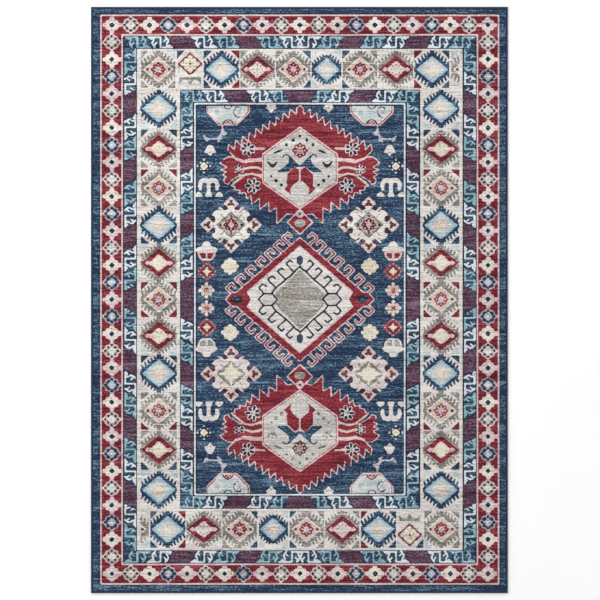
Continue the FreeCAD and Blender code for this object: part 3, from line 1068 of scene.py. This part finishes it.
def knot_corners(chart):
    """The shared surface: where every corner of the chart's knots lies, in metres."""
    rng = np.random.default_rng(SEED)
    rows, columns = chart.rows + 1, chart.columns + 1
    x = np.linspace(-WOVEN_HALF[0], WOVEN_HALF[0], columns) * MM
    y = np.linspace(-WOVEN_HALF[1], WOVEN_HALF[1], rows) * MM
    place = np.empty((rows, columns, 3))
    place[..., 0], place[..., 1] = np.meshgrid(x, y)
    seam_x = np.zeros((rows, columns - 1), dtype=bool)
    seam_x[1:-1] = chart.yarn[1:] != chart.yarn[:-1]
    seam_y = np.zeros((rows - 1, columns), dtype=bool)
    seam_y[:, 1:-1] = chart.yarn[:, 1:] != chart.yarn[:, :-1]
    meets = np.zeros((rows, columns))
    meets[:, 1:] += seam_x
    meets[:, :-1] += seam_x
    meets[1:] += seam_y
    meets[:-1] += seam_y
    for _ in range(SEAM_ROUNDS):
        smooth_seams(place, seam_x, seam_y, meets)
    inner = np.zeros((rows, columns), dtype=bool)
    inner[1:-1, 1:-1] = True
    stray = rng.uniform(-1.0, 1.0, (rows, columns, 3)) * TUFT_PLAY
    place[..., :2] += stray[..., :2] * inner[..., None]
    place[..., 2] = PILE_TOP - TUFT_PLAY - GROOVE * (meets > 0) + stray[..., 2]
    place[..., 2] -= RIM_DROP * ~inner
    return place


def mesh_piece(name, places, faces, material, smooth=True):
    """A mesh object from corner places and faces of four corners."""
    mesh = bpy.data.meshes.new(name)
    mesh.vertices.add(len(places))
    mesh.vertices.foreach_set("co", np.asarray(places, dtype=np.float32).ravel())
    faces = np.asarray(faces, dtype=np.int32)
    mesh.loops.add(faces.size)
    mesh.loops.foreach_set("vertex_index", faces.ravel())
    mesh.polygons.add(len(faces))
    mesh.polygons.foreach_set("loop_start", np.arange(len(faces), dtype=np.int32) * 4)
    mesh.polygons.foreach_set("use_smooth", np.full(len(faces), smooth))
    mesh.update(calc_edges=True)
    mesh.materials.append(material)
    piece = bpy.data.objects.new(name, mesh)
    bpy.context.scene.collection.objects.link(piece)
    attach(piece, "root")
    return piece


def weave_pile(chart):
    """One mesh for each CAD pile node, cut from the shared surface by yarn."""
    corners = knot_corners(chart)
    rows, columns = corners.shape[:2]
    number = np.arange(rows * columns).reshape(rows, columns)
    quads = np.stack((number[:-1, :-1], number[:-1, 1:], number[1:, 1:], number[1:, :-1]), axis=-1)
    places = corners.reshape(-1, 3)
    dyes = np.array([paint(colour) for _, _, colour in YARNS])
    owner = np.array([node for _, node, _ in YARNS])
    pieces = {}
    for node in dict.fromkeys(owner):
        mine = owner[chart.yarn] == node
        used, faces = np.unique(quads[mine], return_inverse=True)
        piece = mesh_piece(node + "_tufts", places[used], faces.reshape(-1, 4),
                           pile_material(node))
        dye = piece.data.attributes.new("dye", "FLOAT_COLOR", "FACE")
        dye.data.foreach_set("color", dyes[chart.yarn[mine]].astype(np.float32).ravel())
        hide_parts(node)
        pieces[node] = piece
    return pieces


# ---- wrapped edges

WRAP_PITCH = 2.6 * MM  # one turn of the yarn round the edge cord
WRAP_RELIEF = 0.35 * MM
WRAP_SECTIONS = 4  # cross-sections for one turn
WRAP_LEAN = 1.2  # how far a turn leans between foot and top, in radians
SIDES = ("right", "top", "left", "bottom")


def edge_profile(depth, height):
    """The edge's cross-section as outward and upward: flat at the pile, rounded outside."""
    angles = np.linspace(-0.5 * math.pi, 0.5 * math.pi, 9)
    rounded = [(0.45 * depth + 0.55 * depth * math.cos(a),
                0.5 * height + 0.5 * height * math.sin(a)) for a in angles]
    return [(0.0, 0.0), *rounded, (0.0, height)]


def wrapped_edge(side, material):
    """One side's edge: yarn wrapped round the cord, turn by turn, mitred into its neighbours."""
    node = "serging_" + side
    low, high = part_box(node)
    along = 1 if side in ("left", "right") else 0
    across = 1 - along
    outward = 1.0 if side in ("right", "top") else -1.0
    outer = max(abs(low[across]), abs(high[across]))
    depth = high[across] - low[across]
    reach = max(abs(low[along]), abs(high[along]))
    height = high[2] - low[2]
    turns = int(2 * reach / WRAP_PITCH)
    run = np.linspace(-1.0, 1.0, turns * WRAP_SECTIONS + 1)
    profile = edge_profile(depth, height)
    middle_out, middle_up = 0.35 * depth, 0.5 * height
    places = np.zeros((len(run), len(profile), 3))
    for index, (out, up) in enumerate(profile):
        phase = 2 * math.pi * turns * (run + 1) / 2 + up / height * WRAP_LEAN
        relief = WRAP_RELIEF / depth * (1 - np.cos(phase)) if index > 0 else 0.0
        out_now = middle_out + (out - middle_out) * (1.0 - relief)
        places[:, index, across] = outward * (outer - depth + out_now)
        places[:, index, along] = run * (reach - depth + out_now)
        places[:, index, 2] = low[2] + middle_up + (up - middle_up) * (1.0 - relief)
    number = np.arange(len(run) * len(profile)).reshape(len(run), len(profile))
    after = np.roll(number, -1, axis=1)
    faces = np.stack((number[:-1], number[1:], after[1:], after[:-1]), axis=-1).reshape(-1, 4)
    if (outward > 0) == (along == 1):
        faces = faces[:, ::-1]
    piece = mesh_piece(node + "_wrap", places.reshape(-1, 3), faces, material)
    close_ends(piece, number)
    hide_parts(node)
    return piece


def close_ends(piece, number):
    """Caps a swept piece at both of its ends."""
    sheet = bmesh.new()
    sheet.from_mesh(piece.data)
    sheet.verts.ensure_lookup_table()
    for ring in (number[0], number[-1]):
        sheet.faces.new([sheet.verts[i] for i in ring])
    bmesh.ops.recalc_face_normals(sheet, faces=sheet.faces)
    sheet.to_mesh(piece.data)
    sheet.free()


# ---- backing

COAT_SPACING = 9.0 * MM  # how far apart the coat's dimples are
COAT_RELIEF = 0.2 * MM
GROUND_SPACING = 18.0 * MM


def slab(name, node, spacing, relief, material):
    """A thin closed slab in a CAD node's box, its underside gently uneven."""
    low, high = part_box(node)
    columns = int((high[0] - low[0]) / spacing) + 1
    rows = int((high[1] - low[1]) / spacing) + 1
    x, y = np.meshgrid(np.linspace(low[0], high[0], columns), np.linspace(low[1], high[1], rows))
    wave = 0.5 + 0.5 * np.cos(x / spacing * math.pi) * np.cos(y / spacing * math.pi)
    under = np.stack((x, y, low[2] + relief * wave), axis=-1)
    over = np.stack((x, y, np.full_like(x, high[2])), axis=-1)
    number = np.arange(rows * columns).reshape(rows, columns)
    quads = np.stack((number[:-1, :-1], number[1:, :-1], number[1:, 1:], number[:-1, 1:]),
                     axis=-1).reshape(-1, 4)
    lift = rows * columns
    rim = np.concatenate((number[0, :-1], number[:-1, -1], number[-1, :0:-1], number[:0:-1, 0]))
    walls = np.column_stack((rim, np.roll(rim, -1), np.roll(rim, -1) + lift, rim + lift))
    faces = np.concatenate((quads, quads[:, ::-1] + lift, walls))
    piece = mesh_piece(name, np.concatenate((under.reshape(-1, 3), over.reshape(-1, 3))), faces,
                       material, smooth=False)
    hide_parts(node)
    return piece


def dress_cad_nodes():
    """The CAD nodes that stay: the edge cords, the care label and its stitches."""
    cord = plain_yarn_material("cotton_cord", (196, 186, 166), (158, 146, 126), 700.0)
    cloth = plain_yarn_material("label_satin", (238, 236, 230), (214, 210, 202), 1800.0, 0.5, 0.0)
    thread = plain_yarn_material("label_thread", (70, 76, 90), (40, 44, 56), 2400.0, 0.6, 0.0)
    looks = {"care_label": cloth, "label_stitching": thread}
    looks.update(("edge_cord_" + side, cord) for side in SIDES)
    for name, material in looks.items():
        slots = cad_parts[name].data.materials
        slots.clear()
        slots.append(material)


# ---- room, light and camera

FLOOR_SIZE = 60.0
FLOOR_GLOW = 0.12
AIR_LIGHT = 0.72
WINDOW_SIZE = (4.0, 3.0)
WINDOW_PLACE = (-2.2, 2.8, 3.2)
WINDOW_TILT = (-38.0, -30.0)  # in degrees, about the first two axes
WINDOW_POWER = 112.0
PICTURE_WIDTH = 2.303  # how much of the floor the camera sees
CAMERA_SHIFT = 0.0023
LENS = 200.0  # in millimetres, as the sensor
SENSOR = 36.0


def pale_floor():
    """A large plain floor under the rug."""
    look = Look("pale_floor", 0.9, 0.0)
    mottle = look.ramp(look.noise((3.0, 3.0, 3.0), 2.0), 0.3, 0.7)
    look.shade({"Base Color": look.mixed(mottle, (0.95, 0.95, 0.955, 1.0), (0.97, 0.97, 0.97, 1.0)),
                "Emission Color": (1.0, 1.0, 1.0, 1.0), "Emission Strength": FLOOR_GLOW})
    bpy.ops.mesh.primitive_plane_add(size=FLOOR_SIZE, location=(0.0, 0.0, 0.0))
    floor = bpy.context.object
    floor.name = "studio_floor"
    floor.data.materials.append(look.material)


def soft_light(scene):
    """White air and a wide window of light, high up on one side."""
    world = bpy.data.worlds.new("studio_air")
    world.use_nodes = True
    air = world.node_tree.nodes["Background"].inputs
    air["Color"].default_value = (1.0, 1.0, 1.0, 1.0)
    air["Strength"].default_value = AIR_LIGHT
    scene.world = world
    lamp = bpy.data.lights.new("window_light", "AREA")
    lamp.shape = "RECTANGLE"
    lamp.size, lamp.size_y = WINDOW_SIZE
    lamp.energy = WINDOW_POWER
    light = bpy.data.objects.new("window_light", lamp)
    light.location = WINDOW_PLACE
    light.rotation_euler = (*map(math.radians, WINDOW_TILT), 0.0)
    scene.collection.objects.link(light)


def overhead_camera(scene):
    """A camera straight overhead, far up with a long lens."""
    camera_data = bpy.data.cameras.new("overhead")
    camera_data.lens = LENS
    camera_data.sensor_width = SENSOR
    camera = bpy.data.objects.new("overhead", camera_data)
    camera.location = (CAMERA_SHIFT, 0.0, PICTURE_WIDTH * LENS / SENSOR)
    scene.collection.objects.link(camera)
    bpy.context.scene.camera = camera


def studio():
    """The floor, the light and the camera, in plain colours."""
    scene = bpy.context.scene
    scene.view_settings.view_transform = "Standard"
    scene.view_settings.look = "None"
    pale_floor()
    soft_light(scene)
    overhead_camera(scene)


pile = weave_pile(woven_chart())
edge_yarn = plain_yarn_material("edge_wrap", (20, 31, 50), (50, 68, 94), 600.0)
edges = [wrapped_edge(side, edge_yarn) for side in SIDES]
coat = slab("latex_coat", "latex_coating", COAT_SPACING, COAT_RELIEF, coating_material())
ground_yarn = plain_yarn_material("ground_threads", (188, 176, 150), (150, 138, 114), 500.0)
ground = slab("ground_cloth", "ground_weave", GROUND_SPACING, 0.0, ground_yarn)
dress_cad_nodes()
studio()
